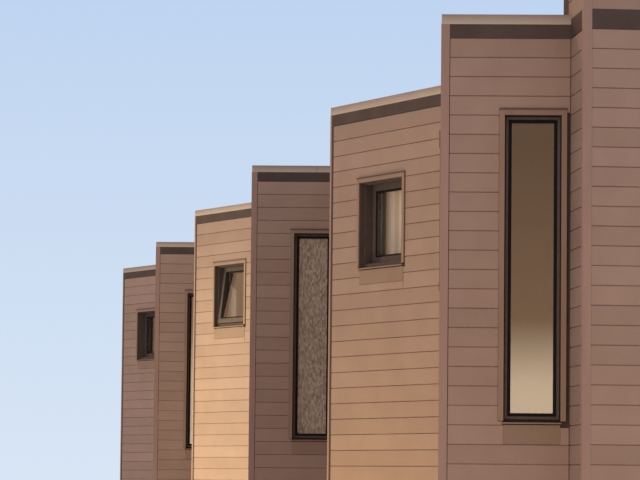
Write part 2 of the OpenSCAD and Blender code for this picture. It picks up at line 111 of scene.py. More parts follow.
def patches(tree, place, size_mm, low, high, stretch=(1, 1, 1)):
    """Soft patches of two close colours, about size_mm across."""
    cloud = clouds(tree, place, size_mm, stretch)
    return add(tree, "ShaderNodeValToRGB", [cloud], ((0.3, low), (0.7, high)))


def grain(tree, surface, place, size_mm, depth_mm, stretch=(1, 1, 1)):
    """Raises a surface in soft grains about size_mm across."""
    height = clouds(tree, place, size_mm, stretch)
    feed(surface["Normal"], add(tree, "ShaderNodeBump", {"Height": height, "Distance": depth_mm / 1000}))


def finish(name, roughness, tones, grains=(), specular=0.5, numbers=None):
    """A material with soft patches of two tones, and with grains where it has any."""
    made, tree, surface, place = new_material(name, roughness, specular, numbers)
    feed(surface["Base Color"], patches(tree, place, *tones))
    if grains:
        grain(tree, surface, place, *grains)
    return made


def dress(made, *names):
    """Gives CAD nodes a material in place of the plain one."""
    for name in names:
        nodes[name].data.materials.clear()
        nodes[name].data.materials.append(made)


# Cast concrete has soft cloudy patches a hand wide and fine sand pits
dress(finish("cast_concrete", 0.85, (180, "#8F8A82", "#A7A299"), (6, 1.0)), "ground_slab")

# Party walls
# Dense concrete blocks laid in courses of 225 mm and painted over, so only the joints show. They
# show at the far end, at the rear where a house steps past the last one, and above the decks. The
# side towards the near end always faces a room, and is plastered there.

block_len = 0.45
block_course = 0.225
mortar_w = 0.010
mortar_sunk = 0.003
roof_level = 5.9
plaster_tones = ("#B9B2A6", "#C4BDB1")

blockwork, tree, surface, place = new_material("painted_blockwork", 0.8)
across = add(tree, "ShaderNodeSeparateXYZ", [place]).outputs
run = add(tree, "ShaderNodeMath", [across[0], across[1]], operation="ADD")
laid = add(tree, "ShaderNodeCombineXYZ", [run, across[2]])
bond = add(tree, "ShaderNodeTexBrick", {
    "Vector": laid, "Scale": 1.0, "Mortar Size": mortar_w, "Mortar Smooth": 0.3, "Bias": 0.0,
    "Brick Width": block_len, "Row Height": block_course,
    "Color1": colour("#A3988C"), "Color2": colour("#9C9186"), "Mortar": colour("#8A8076")})
normal = add(tree, "ShaderNodeNewGeometry").outputs["Normal"]
facing = add(tree, "ShaderNodeSeparateXYZ", [normal]).outputs
to_near_end = add(tree, "ShaderNodeMath", [facing[0], 0.5], operation="GREATER_THAN")
under_roof = add(tree, "ShaderNodeMath", [across[2], roof_level], operation="LESS_THAN")
in_room = add(tree, "ShaderNodeMath", [to_near_end, under_roof], operation="MULTIPLY")
plaster = patches(tree, place, 40, *plaster_tones)
whole = add(tree, "ShaderNodeMix", {"Factor": in_room, "A": bond, "B": plaster}, data_type="RGBA")
feed(surface["Base Color"], whole)
show = bond.outputs["Fac"]
joints = add(tree, "ShaderNodeMath", [show, in_room], operation="SUBTRACT", use_clamp=True)
feed(surface["Normal"], add(tree, "ShaderNodeBump", {"Height": joints, "Distance": -mortar_sunk}))
dress(blockwork, "far_party_wall", "far_middle_party_wall", "middle_near_party_wall")

# Timber-framed walls
# Studs with sheathing and a dark breather membrane outside, which shows in the joints between
# boards and is turned into the window openings. Plasterboard lines the rooms, white boards line the
# openings behind the windows, and roofing felt is turned up inside the parapets.

house_names = ("far", "middle", "near")
middle_house, near_house = 1, 2
house_len = 12.0
house_step = 2.20
house_depth = 7.5
front_outs = (1.142, 1.154, 1.086)
splay_along = 1.85
street_len = 4.43
last_face = 1.005
end_turn = math.radians(7.5)
end_out = 0.568
end_back = 0.35
end_past = 0.1
party_t = 0.25
slab_top = 0.15
corner_w = 0.063
corner_gap = 0.005
splay_corner_w = 0.030
splay_gap = 0.036
inner_gap = 0.001
tall = (0.44, 2.38)
low_tall = (0.44, 2.0)
tall_x = 0.495
small = (0.83, 0.82)
small_x = 0.6
plain = (1.2, 1.2)
door = (1.0, 2.2)
door_head = slab_top + door[1]
lower_head = 2.4
upper_head = 5.55
front_bays = (0.25, 0.7)
rear_bays = (0.18, 0.5, 0.82)
lining_from = 0.14
rounding = 0.001


def in_houses(piece):
    """The names of the three houses' pieces of one kind."""
    return [f"{house}_{piece}" for house in house_names]


def plan(x, y):
    """A point of the plan, on the ground."""
    return Vector((x, y, 0))


# The lines of the plan: a party wall ends each house, and each house stands a step further back
def party_x(h):
    return (h - 0.5) * house_len


def street_y(h):
    return (h - 1) * house_step - house_depth / 2


def front_y(h):
    return street_y(h) - front_outs[h]


def rear_y(h):
    return street_y(h) + house_depth


Opening = namedtuple("Opening", "left right foot head")


def hole(x, size, head):
    """An opening by its left edge, its width and height, and the level of its head."""
    return Opening(x, x + size[0], head - size[1], head)


def centred(x, size, head):
    """An opening by its middle, its width and height, and the level of its head."""
    return hole(x - size[0] / 2, size, head)


def is_doorway(opening):
    """Whether an opening starts on the slab."""
    return opening.foot < slab_top + rounding


front_len = house_len - splay_along - street_len
front_x = [front_len * bay for bay in front_bays]
rear_x = [house_len * bay for bay in rear_bays]
openings_in = {
    "front": [centred(front_x[0], door, door_head), centred(front_x[1], plain, lower_head),
              centred(front_x[0], plain, upper_head), centred(front_x[1], plain, upper_head)],
    "splay": [hole(small_x, small, lower_head), hole(small_x, small, upper_head)],
    "street": [centred(street_len / 2, plain, lower_head), centred(street_len / 2, plain, upper_head)],
    "return": [hole(tall_x, low_tall, lower_head), hole(tall_x, tall, upper_head)],
    "rear": [*(centred(x, plain, upper_head) for x in rear_x), centred(rear_x[0], plain, lower_head),
             centred(rear_x[2], plain, lower_head), centred(rear_x[1], door, door_head)],
}


class Face:
    """One wall face, which runs from left to right as seen from outside. Boards keep off its ends
    by its margins, for the corner boards."""

    def __init__(self, start, end, left_margin=0.0, right_margin=0.0, kind=None):
        self.start, self.kind = start, kind
        self.margins = (left_margin, right_margin)
        self.length = (end - start).length
        self.along = (end - start).normalized()
        self.out = plan(self.along.y, -self.along.x)

    def at(self, x, depth, z):
        """A point by its distance along the face, its depth behind it and its height."""
        return self.start + self.along * x - self.out * depth + Vector((0, 0, z))


# The end block is turned a little from the row. It starts behind the near house's last corner.
sine, cosine = math.sin(end_turn), math.cos(end_turn)
end_u = plan(cosine, sine)
end_v = plan(-sine, cosine)
last_corner = plan(party_x(near_house), street_y(near_house) + last_face)
end_depth = (rear_y(near_house) + end_past - last_corner.y + end_back * sine) / cosine
end_start = last_corner - end_back * end_u
end_corner = last_corner + end_out * end_u
end_rear = end_corner + end_depth * end_v
end_inner = end_start + end_depth * end_v
end_faces = {
    "end_return_wall": Face(end_start, end_corner), "end_gable_wall": Face(end_corner, end_rear),
    "end_rear_wall": Face(end_rear, end_inner), "end_inner_wall": Face(end_inner, end_start)}


def faces_of(h):
    """The faces of a house from its front wall to its return, and its rear."""
    corners = [
        plan(party_x(h - 1), front_y(h)),
        plan(party_x(h) - street_len - splay_along, front_y(h)),
        plan(party_x(h) - street_len, street_y(h)),
        plan(party_x(h), street_y(h)),
        last_corner if h == near_house else plan(party_x(h), front_y(h + 1)),
    ]
    rear = [plan(party_x(h), rear_y(h)), plan(party_x(h - 1), rear_y(h))]
    wide = corner_w + corner_gap
    rear_start = party_t
    if h == near_house:
        rear_start = end_back / cosine + (rear_y(h) - last_corner.y) * math.tan(end_turn)
    return [
        Face(corners[0], corners[1], wide - party_t if h == 0 else inner_gap, wide, "front"),
        Face(corners[1], corners[2], splay_corner_w + splay_gap, inner_gap, "splay"),
        Face(corners[2], corners[3], inner_gap, wide, "street"),
        Face(corners[3], corners[4], wide, inner_gap, "return"),
        Face(rear[0], rear[1], rear_start + inner_gap, wide - party_t, "rear"),
    ]


def frame_wall(node, face):
    """Plaster inside, felt above the roof, white linings behind the windows and membrane outside."""
    made, tree, surface, place = new_material("lined_frame_of_" + node, 0.8)
    normal = add(tree, "ShaderNodeNewGeometry").outputs["Normal"]
    outward = add(tree, "ShaderNodeVectorMath", [normal, face.out], operation="DOT_PRODUCT")
    # The sides of an opening count as turned out, and only the wall's inner face doesn't
    turned_out = add(tree, "ShaderNodeMath", [outward, -0.3], operation="GREATER_THAN")
    from_start = add(tree, "ShaderNodeVectorMath", [place, face.start], operation="SUBTRACT")
    level = add(tree, "ShaderNodeVectorMath", [from_start, face.out], operation="DOT_PRODUCT")
    at_front = add(tree, "ShaderNodeMath", [level, -lining_from], operation="GREATER_THAN")
    is_outside = add(tree, "ShaderNodeMath", [turned_out, at_front], operation="MULTIPLY")
    is_lining = add(tree, "ShaderNodeMath", [turned_out, is_outside], operation="SUBTRACT")
    height = add(tree, "ShaderNodeSeparateXYZ", [place]).outputs[2]
    is_parapet = add(tree, "ShaderNodeMath", [height, roof_level], operation="GREATER_THAN")
    felt = patches(tree, place, 40, "#55565A", "#66676B")
    membrane = patches(tree, place, 40, "#3A2E29", "#453731")
    whole = patches(tree, place, 40, *plaster_tones)
    for share, coat in ((is_parapet, felt), (is_lining, colour("#ECE8E0")), (is_outside, membrane)):
        whole = add(tree, "ShaderNodeMix", {"Factor": share, "A": whole, "B": coat}, data_type="RGBA")
    feed(surface["Base Color"], whole)
    grain(tree, surface, place, 3, 0.4)
    dress(made, node)


house_faces = [faces_of(h) for h in range(len(house_names))]
for house, faces in zip(house_names, house_faces):
    for face in faces:
        frame_wall(f"{house}_{face.kind}_wall", face)
for node, face in end_faces.items():
    frame_wall(node, face)

# Floors
# Flooring boards on joists, seen only through the windows.

plank_w = 0.14
plank_len = 2.4
plank_gap = 0.003

# Planed softwood is pale and warm, with streaks along each plank
flooring, tree, surface, place = new_material("planed_softwood", 0.5)
planks = add(tree, "ShaderNodeTexBrick", {
    "Vector": place, "Scale": 1.0, "Mortar Size": plank_gap, "Brick Width": plank_len,
    "Row Height": plank_w, "Color1": colour("#A58E72"), "Color2": colour("#98826A"),
    "Mortar": colour("#5C4C3C")})
feed(surface["Base Color"], planks)
grain(tree, surface, place, 4, 0.3, (20, 1, 1))
dress(flooring, *in_houses("upper_floor"))

# Roof decks
# Mineral felt in sheets a metre wide, laid with a lap along each edge, which stands up by the
# thickness of the sheet.

sheet_w = 1.0
sheet_len = 8.0
sheet_t = 0.003
lap = 0.04

# Mineral grit makes the felt dull and finely mottled. It is drawn 8 mm across, because the real
# millimetre is too fine to show.
mineral_felt, tree, surface, place = new_material("mineral_felt", 0.9)
sheets = add(tree, "ShaderNodeTexBrick", {
    "Vector": place, "Scale": 1.0, "Mortar Size": lap, "Mortar Smooth": 0.0, "Brick Width": sheet_len,
    "Row Height": sheet_w, "Color1": colour("#5E5F62"), "Color2": colour("#636468"),
    "Mortar": colour("#515256")})
grit = patches(tree, place, 8, "#D0D0D0", "#FFFFFF")
toned = add(tree, "ShaderNodeMix", {"Factor": 1.0, "A": sheets, "B": grit}, data_type="RGBA",
            blend_type="MULTIPLY")
feed(surface["Base Color"], toned)
raised = {"Height": sheets.outputs["Fac"], "Distance": sheet_t}
feed(surface["Normal"], add(tree, "ShaderNodeBump", raised))
dress(mineral_felt, *in_houses("roof_deck"))

# Cladding
# Smooth wide boards, 150 mm to a course, painted brown. Each is rebated along its top, so a narrow
# groove lies in shadow under the next course. They butt on the corner boards and the facings.

board_t = 0.018
board_len = 4.2
board_gap = 0.004
board_edge = 0.001
course_h = 0.15
course_shifts = (0.0, 0.5, 0.25, 0.75)
rebate_h = 0.007
rebate_depth = 0.010
plain_rebate_h = 0.001
parapet_top = 6.257
coping_h = 0.077
band_h = 0.107
end_top = 6.9
end_band_h = 0.15
end_strip_w = 0.225
end_gap = 0.001
trim_gap = 0.002

# What each opening takes out of the boards: its facings, head flashing and sill, and beside the
# legs of the return and splay facings the hollows that show in the photo
facing_w = 0.042
facing_gap = 0.001
flashing_t = 0.006
leg_gap = 0.010
leg_side = 0.010
leg_hollow = 0.026
last_hollow = 0.040
hollow_past = 0.01
hollow_over = 0.02
sill_past = 0.008
sill_h = 0.012
sill_shade = 0.006
sill_gap = 0.001
threshold_gap = 0.01
infill_in = 0.010
infill_past = 0.018
infill_drop = 0.158
infill_gap = 0.0015
slot_past = 0.025
slot_drop = 0.113

# Boards shorter or lower than these aren't laid, and butt joints keep off the ends of a stretch
least_len = 0.008
least_h = 0.02
least_infill_h = 0.03
least_end = 0.3


def cut_round(spans, block):
    """Takes a rectangle out of a list of rectangles, and keeps what is left of each."""
    left, right, foot, head = block
    kept = []
    for a, b, low, high in spans:
        if b <= left or a >= right or high <= foot or low >= head:
            kept.append((a, b, low, high))
            continue
        if a < left:
            kept.append((a, left, low, high))
        if b > right:
            kept.append((right, b, low, high))
        inner = (max(a, left), min(b, right))
        if high > head:
            kept.append((*inner, head, high))
        if low < foot:
            kept.append((*inner, low, foot))
    return kept


def blocks_of(opening, kind, is_last):
    """The rectangles that an opening with its facings, flashing and sill takes out of the boards."""
    left, right, foot, head = opening
    rim = facing_w + facing_gap
    top = head + facing_w + flashing_t + trim_gap
    if is_doorway(opening):
        return [(left - rim, right + rim, foot - threshold_gap, top)]
    found = [(left - rim, right + rim, foot + leg_gap - trim_gap, top),
             (left - sill_past - sill_gap, right + sill_past + sill_gap, foot - sill_h - sill_shade,
              foot + leg_gap)]
    if kind == "return" and is_last:
        found.append((right, last_face + hollow_past, foot - last_hollow, head + hollow_over))
    elif kind in ("return", "splay"):
        found.append((right, right + rim + leg_side, foot - leg_hollow, top))
    if kind == "splay":
        found.append((right + infill_past, right + slot_past, foot - slot_drop, foot - leg_hollow))
    return found


def infills_of(opening, kind):
    """The short boards let in under a window after it was fitted."""
    left, right, foot, head = opening
    top = foot - sill_h - sill_shade
    if kind == "splay":
        return [(left + infill_in, right + infill_past, foot - infill_drop, top)]
    if kind == "return":
        course = math.floor((foot - least_infill_h - slab_top) / course_h)
        return [(left, right, slab_top + course * course_h, top)]
    return []


Board = namedtuple("Board", "start end height rebated tone infill")
draw = random.Random(7)


def boards_on(face, bottom, top, blocks=(), infills=()):
    """The boards of one face. Each keeps one tone along its length, also past an opening."""
    boards = []

    def lay(a, b, low, high, rebated, tone, infill):
        boards.append(Board(face.at(a, board_t, low), face.at(b, board_t, low), round(high - low, 4),
                            rebated, tone, infill))

    course = 0
    z = bottom
    while z < top - rounding:
        high = min(z + course_h, top)
        spans = [(face.margins[0], face.length - face.margins[1], z, high)]
        for block in (*blocks, *infills):
            spans = cut_round(spans, block)
        shift = board_len * course_shifts[course % len(course_shifts)]
        tone_of = {}
        for a, b, low, up in spans:
            if up - low < least_h:
                continue
            ends = [a]
            k = math.floor((a - shift) / board_len) + 1
            while face.length > board_len and shift + k * board_len < b - least_end:
                if shift + k * board_len > a + least_end:
                    ends.append(shift + k * board_len)
                k += 1
            ends.append(b)
            for p, q in zip(ends, ends[1:]):
                if q - p < least_len:
                    continue
                number = math.floor((p + rounding - shift) / board_len) if face.length > board_len else 0
                tone = tone_of.setdefault(number, draw.random())
                lay(p + (board_gap / 2 if p > a else 0), q - (board_gap / 2 if q < b else 0), low, up,
                    abs(up - high) < 1e-6, tone, 0.0)
        z += course_h
        course += 1
    for a, b, low, up in infills:
        lay(a + infill_gap, b - infill_gap, low + infill_gap, up - infill_gap, False, draw.random(), 1.0)
    return boards


def sweep_tree(name, sizes, corners_of):
    """A tree that sweeps a section along each edge of a mesh, closes its ends and paints it."""
    tree = bpy.data.node_groups.new(name, "GeometryNodeTree")
    sockets = tree.interface
    sockets.new_socket("Geometry", in_out="INPUT", socket_type="NodeSocketGeometry")
    for size in sizes:
        sockets.new_socket(size, in_out="INPUT", socket_type="NodeSocketFloat")
    sockets.new_socket("Paint", in_out="INPUT", socket_type="NodeSocketMaterial")
    sockets.new_socket("Geometry", in_out="OUTPUT", socket_type="NodeSocketGeometry")
    given = add(tree, "NodeGroupInput").outputs
    corners = corners_of(tree, given)
    outline = add(tree, "GeometryNodeMeshCircle", {"Vertices": len(corners)}, fill_type="NONE")
    for i, (out, up) in enumerate(reversed(corners)):
        down = add(tree, "ShaderNodeMath", [up, -1.0], operation="MULTIPLY")
        corner = add(tree, "ShaderNodeCombineXYZ", [out, down])
        index = add(tree, "GeometryNodeInputIndex")
        here = add(tree, "FunctionNodeCompare", {2: index, 3: i}, data_type="INT", operation="EQUAL")
        moved = {"Geometry": outline, "Selection": here, "Position": corner}
        outline = add(tree, "GeometryNodeSetPosition", moved)
    section = add(tree, "GeometryNodeMeshToCurve", {"Mesh": outline})
    lines = add(tree, "GeometryNodeMeshToCurve", {"Mesh": given["Geometry"]})
    swept = add(tree, "GeometryNodeCurveToMesh",
                {"Curve": lines, "Profile Curve": section, "Fill Caps": True})
    crisp = add(tree, "GeometryNodeSetShadeSmooth", {"Geometry": swept, "Shade Smooth": False})
    real = add(tree, "GeometryNodeRealizeInstances", {"Geometry": crisp})
    painted = add(tree, "GeometryNodeSetMaterial", {"Geometry": real, "Material": given["Paint"]})
    add(tree, "NodeGroupOutput", {"Geometry": painted})
    return tree


def board_corners(tree, given):
    """A board's section: its top edge is rebated, so that the next board's foot casts a shadow."""
    height, thick, edge = given["Height"], given["Thickness"], given["Edge"]
    shoulder = add(tree, "ShaderNodeMath", [height, given["Rebate height"]], operation="SUBTRACT")
    shelf = add(tree, "ShaderNodeMath", [thick, given["Rebate depth"]], operation="SUBTRACT")
    eased = add(tree, "ShaderNodeMath", [thick, edge], operation="SUBTRACT")
    brow = add(tree, "ShaderNodeMath", [shoulder, edge], operation="SUBTRACT")
    return [(0.0, 0.0), (eased, 0.0), (thick, edge), (thick, brow), (eased, shoulder), (shelf, shoulder),
            (shelf, height), (0.0, height)]


def placed(name, data):
    """An object in the scene for a mesh, a lamp or a camera."""
    made = bpy.data.objects.new(name, data)
    bpy.context.scene.collection.objects.link(made)
    return made


def new_mesh(name, points, edges=(), faces=()):
    """A mesh from its points, with its edges or its faces."""
    mesh = bpy.data.meshes.new(name)
    mesh.from_pydata(points, edges, faces)
    return mesh


def run_tree(tree, mesh, numbers):
    """A plain mesh from a tree run on a mesh, with the tree's inputs set by name."""
    carrier = placed("carrier", mesh)
    modifier = carrier.modifiers.new("shape", "NODES")
    modifier.node_group = tree
    sockets = {s.name: s.identifier for s in tree.interface.items_tree if s.in_out == "INPUT"}
    for name, value in numbers.items():
        modifier[sockets[name]] = value
    evaluated = carrier.evaluated_get(bpy.context.evaluated_depsgraph_get())
    found = bpy.data.meshes.new_from_object(evaluated)
    carrier.modifiers.remove(modifier)
    bpy.data.objects.remove(carrier)
    return found


def lines_mesh(boards):
    """One edge for each board, with its tone and whether it is an infill on both ends."""
    points = [p for board in boards for p in (board.start, board.end)]
    mesh = new_mesh("lines", points, [(2 * i, 2 * i + 1) for i in range(len(boards))])
    for name in ("tone", "infill"):
        values = mesh.attributes.new(name, "FLOAT", "POINT")
        values.data.foreach_set("value", [getattr(board, name) for board in boards for _ in range(2)])
    return mesh


def joined(name, meshes):
    """One object from several meshes."""
    made = [placed(name, mesh) for mesh in meshes]
    if len(made) > 1:
        with bpy.context.temp_override(active_object=made[0], selected_editable_objects=made):
            bpy.ops.object.join()
    return made[0]


# Matt exterior paint on smooth boards: one brown, with each board a shade off its neighbours and
# the infills a little browner
board_paint, tree, surface, place = new_material("matt_paint_on_boards", 0.6, 0.3)
tone = add(tree, "ShaderNodeAttribute", attribute_name="tone").outputs["Fac"]
infill = add(tree, "ShaderNodeAttribute", attribute_name="infill").outputs["Fac"]
brown = add(tree, "ShaderNodeValToRGB", [tone], ((0.0, "#967663"), (1.0, "#9E7D6A")))
brown = add(tree, "ShaderNodeMix", {"Factor": infill, "A": brown, "B": colour("#8C6D57")},
            data_type="RGBA")
worn = patches(tree, place, 300, "#F4F2F2", "#FFFFFF")
mixed = add(tree, "ShaderNodeMix", {"Factor": 1.0, "A": brown, "B": worn}, data_type="RGBA",
            blend_type="MULTIPLY")
feed(surface["Base Color"], mixed)
grain(tree, surface, place, 5, 0.3, (30, 30, 1))

board_sizes = {"Height": course_h, "Thickness": board_t, "Rebate height": rebate_h,
               "Rebate depth": rebate_depth, "Edge": board_edge}
board_sweep = sweep_tree("board_on_edge", board_sizes, board_corners)


def cladding(name, boards):
    """Sweeps the boards of one block, a mesh for each height, and joins them."""
    meshes = []
    for height, rebated in sorted({(board.height, board.rebated) for board in boards}):
        group = [board for board in boards if (board.height, board.rebated) == (height, rebated)]
        numbers = {**board_sizes, "Height": height, "Paint": board_paint}
        if not rebated:
            numbers["Rebate height"] = plain_rebate_h
        meshes.append(run_tree(board_sweep, lines_mesh(group), numbers))
    made = joined(name, meshes)
    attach(made, "root")


band_foot = parapet_top - band_h
band_head = band_foot + end_band_h
coping_top = parapet_top + coping_h
for h, house in enumerate(house_names):
    boards = []
    for face in house_faces[h]:
        blocks, infills = [], []
        for opening in openings_in[face.kind]:
            blocks += blocks_of(opening, face.kind, h == near_house)
            infills += infills_of(opening, face.kind)
        boards += boards_on(face, slab_top, band_foot, blocks, infills)
    cladding(house + "_cladding", boards)

end_margin = corner_w + end_gap
end_return = Face(last_corner, end_corner, trim_gap, end_margin)
boards = boards_on(end_return, slab_top, band_foot)
# Above the near coping these boards run on behind the house corner, up to the dark end flashing
behind = end_back - end_strip_w
upper_return = Face(last_corner - behind * end_u, end_corner, trim_gap, end_margin)
house_corner = (-1.0, behind + trim_gap, band_foot, coping_top + trim_gap)
boards += boards_on(upper_return, band_head, end_top, [house_corner])
for low, high in ((slab_top, band_foot), (band_head, end_top)):
    boards += boards_on(Face(end_corner, end_rear, end_margin, end_margin), low, high)
    boards += boards_on(Face(end_rear, end_inner, end_margin), low, high)
boards += boards_on(end_faces["end_inner_wall"], coping_top, end_top)
cladding("end_cladding", boards)

# Corner boards and window facings
# Planed boards fixed over the ends of the cladding and round each opening, with mitred corners.
# The corners have the paint of the cladding, and the facings a coat that is a little browner.

# Brushed exterior paint keeps faint strokes along the board
for name, low, high, dressed in (
        ("brushed_paint_on_corners", "#947060", "#9B7766", ["corner_boards"]),
        ("brushed_paint_on_facings", "#886752", "#906F5B", in_houses("window_facings"))):
    dress(finish(name, 0.55, (120, low, high, (1, 1, 6)), (4, 0.2, (1, 1, 30)), 0.3), *dressed)

# Fascia bands
# Dark pressed metal under the copings, over the window heads and on the end block's inner edge.
# A slim angle of the same metal closes each inner corner of the cladding, its dark partly painted shade,
# and a dark strip in the gap between each thin corner board and its splayed boards is painted shade.

angle_t = 0.0015
angle_on_return = 0.006
angle_on_next = 0.004
strip_sunk = 0.002
strip_gap = 0.001
overpaint_top = 6.0
overpaint_reach = 0.02

# Powder coating on steel sheet is even and nearly matt, with a fine orange peel. The flashings on the
# street walls are painted over with the boards.
fascia, tree, surface, place = new_material("powder_coated_steel", 0.6, 0.1)
across = add(tree, "ShaderNodeSeparateXYZ", [place]).outputs
is_low = add(tree, "ShaderNodeMath", [across[2], overpaint_top], operation="LESS_THAN")
from_wall = add(tree, "ShaderNodeMath", [across[1], overpaint_reach - street_y(0)], operation="ADD")
step = add(tree, "ShaderNodeMath", [from_wall, house_step], operation="FLOORED_MODULO")
at_wall = add(tree, "ShaderNodeMath", [step, 2 * overpaint_reach], operation="LESS_THAN")
is_painted = add(tree, "ShaderNodeMath", [is_low, at_wall], operation="MULTIPLY")
dark = patches(tree, place, 260, "#4A3A35", "#54433C")
whole = add(tree, "ShaderNodeMix", {"Factor": is_painted, "A": dark, "B": colour("#9C7862")},
            data_type="RGBA")
feed(surface["Base Color"], whole)
grain(tree, surface, place, 5, 0.05)
dress(fascia, "fascia_bands")


def prism(name, points, bottom, top):
    """An upright prism on a plan that runs anticlockwise."""
    count = len(points)
    sides = [(i, (i + 1) % count, (i + 1) % count + count, i + count) for i in range(count)]
    ends = [tuple(range(count - 1, -1, -1)), tuple(range(count, 2 * count))]
    return new_mesh(name, [(p.x, p.y, z) for z in (bottom, top) for p in points], faces=sides + ends)


def inner_angle(face):
    """An angle in the corner between a house's return and the face of the next wall; its dark also paints
    shade.
    """
    corner = face.start
    return_out = plan(1, 0)
    on_return = corner + angle_on_return * plan(0, -1)
    inside = corner + angle_t * (return_out + face.out) / (1 + return_out.dot(face.out))
    return prism("angle", [corner, on_return, on_return + angle_t * return_out, inside,
                           face.at(angle_on_next, -angle_t, 0), face.at(angle_on_next, 0, 0)],
                 slab_top, band_foot)


def splay_shadow_strip(face):
    """A dark strip between the thin corner board and the boards of a splayed wall, as painted shade in
    the gap.
    """
    left, right = splay_corner_w + strip_gap, splay_corner_w + splay_gap - strip_gap
    corners = ((left, strip_sunk), (right, strip_sunk), (right, board_t), (left, board_t))
    return prism("strip", [face.at(x, depth, 0) for x, depth in corners], slab_top, band_foot)


after_returns = [house_faces[middle_house][0], house_faces[near_house][0], end_return]
splays = [face for faces in house_faces for face in faces if face.kind == "splay"]
# Dark metal that paints the shade in the inner corners and in the gaps beside the thin corner boards
angles_and_shadow_strips = joined("corner_angles_and_shadow_strips", [inner_angle(face) for face in after_returns]
                 + [splay_shadow_strip(face) for face in splays])
angles_and_shadow_strips.data.materials.append(fascia)
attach(angles_and_shadow_strips, "root")

# Copings
# Folded sheet metal with a factory finish in light brown, in lengths of 3 m butted over a strap.
# Painted shade darkens the face towards its top edge, and a painted highlight lightens the drip at the
# foot.

coping_len = 3.0
coping_seam = 0.004
painted_shade_uneven = 0.35


def coping_metal(name, foot):
    """Coated metal sheet with painted shade at its top edge that fades to a painted highlight at its
    foot.
    """
    made, tree, surface, place = new_material(name, 0.5, 0.3)
    across = add(tree, "ShaderNodeSeparateXYZ", [place]).outputs
    # Painted shade at the top edge, fading to a painted highlight at the drip, made uneven by soft clouds
    rise = add(tree, "ShaderNodeMapRange", {"Value": across[2], "From Min": foot,
                                            "From Max": foot + coping_h, "To Min": 1.0, "To Max": 0.0})
    uneven = add(tree, "ShaderNodeMath", [clouds(tree, place, 350), painted_shade_uneven, rise],
                 operation="MULTIPLY_ADD")
    coat = add(tree, "ShaderNodeValToRGB", [uneven], ((0.10, "#8A7365"), (1.0, "#B59B86")))
    run = add(tree, "ShaderNodeMath", [across[0], across[1]], operation="ADD")
    part = add(tree, "ShaderNodeMath", [run, coping_len], operation="FLOORED_MODULO")
    seam = add(tree, "ShaderNodeMath", [part, coping_seam], operation="LESS_THAN")
    mixed = add(tree, "ShaderNodeMix", {"Factor": seam, "A": coat, "B": colour("#5A4A42")},
                data_type="RGBA")
    feed(surface["Base Color"], mixed)
    return made


dress(coping_metal("coated_sheet_metal", parapet_top), *in_houses("coping"))
dress(coping_metal("coated_sheet_metal_on_end", end_top), "end_cap")

# Window frames
# Factory-finished frames and sashes, dark brown. Each pane is held by a sloped black bead, which
# is pressed in from outside and mitred at its corners; its black is also painted shade in the recess.

reveal = 0.070
frame_edges = (0.008, 0.024, 0.008)
frame_w = 0.022
bead_w = 0.026
bead_depth = 0.007
bead_set = 0.012
bead_flat = 0.45
bead_lip = 0.35
sash_edges = (0.025, 0.042, 0.018)
sash_gap = 0.003
sash_reveal = 0.127
sash_w = 0.060
sash_bead_w = 0.018
open_turn = math.radians(7)

# Baked satin enamel on extruded aluminium has an even, softly shining skin
frame_paint = finish("satin_enamel_on_aluminium", 0.6, (60, "#54443C", "#5D4C43"), (3, 0.03), 0.15)
dress(frame_paint, *in_houses("window_frames"))

# Extruded rubber is black and dull, with a chalky bloom. Its near-black also paints the shade in the
# recess round each pane.
rubber_and_shade = finish("extruded_rubber_and_painted_shade", 0.7, (25, "#100E0E", "#191616"), specular=0.15)


def bead_corners(tree, given):
    """A bead's section. A corner of the swept path is cut at 45 degrees, which takes a wider section."""
    depth = given["Depth"]
    width = add(tree, "ShaderNodeMath", [given["Width"], math.sqrt(2)], operation="MULTIPLY")
    flat = add(tree, "ShaderNodeMath", [width, bead_flat], operation="MULTIPLY")
    lip = add(tree, "ShaderNodeMath", [depth, bead_lip], operation="MULTIPLY")
    return [(0.0, 0.0), (depth, 0.0), (depth, flat), (lip, width), (0.0, width)]


def bead_loop(face, opening, is_open):
    """The outer line of the bead round one pane, turned with its sash where that stands open."""
    left, right, foot, head = opening
    is_sash = face.kind == "splay"
    side, low, top = sash_edges if is_sash else frame_edges
    inset = sash_gap + sash_w if is_sash else frame_w
    hinge = head - top
    loop = []
    for x, z in ((left + side + inset, foot + low + inset), (right - side - inset, foot + low + inset),
                 (right - side - inset, head - top - inset), (left + side + inset, head - top - inset)):
        depth = bead_set
        if is_open:
            drop = z - hinge
            depth, z = (depth * math.cos(open_turn) + drop * math.sin(open_turn),
                        hinge + drop * math.cos(open_turn) - depth * math.sin(open_turn))
        loop.append(face.at(x, (sash_reveal if is_sash else reveal) + depth, z))
    return loop


bead_sweep = sweep_tree("bead_round_pane", ("Width", "Depth"), bead_corners)
for h, house in enumerate(house_names):
    meshes = []
    for in_sash, width in ((False, bead_w), (True, sash_bead_w)):
        # Only the middle house's upper sash stands open
        loops = [bead_loop(face, opening, h == middle_house and in_sash and opening.head == upper_head)
                 for face in house_faces[h] if (face.kind == "splay") == in_sash
                 for opening in openings_in[face.kind] if not is_doorway(opening)]
        sides = [(4 * i + k, 4 * i + (k + 1) % 4) for i in range(len(loops)) for k in range(4)]
        mesh = new_mesh("loops", [p for loop in loops for p in loop], sides)
        meshes.append(run_tree(bead_sweep, mesh, {"Width": width, "Depth": bead_depth, "Paint": rubber_and_shade}))
    beads = joined(house + "_glazing_beads", meshes)
    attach(beads, "root")

# Glass
# Double glazing. Clear panes have a thin metal film against the sun, heavier on the tall ones, which
# mirrors softly and lets the dim rooms show. The middle house's tall panes are cast with a pebbled
# face for privacy.

film = "#E6E0D8"
film_share = 0.26
tall_film_share = 0.45
film_roughness = 0.02
cast_share = 0.94
cast_roughness = 0.22
pebble_mm = 22
pebble_depth = 0.006


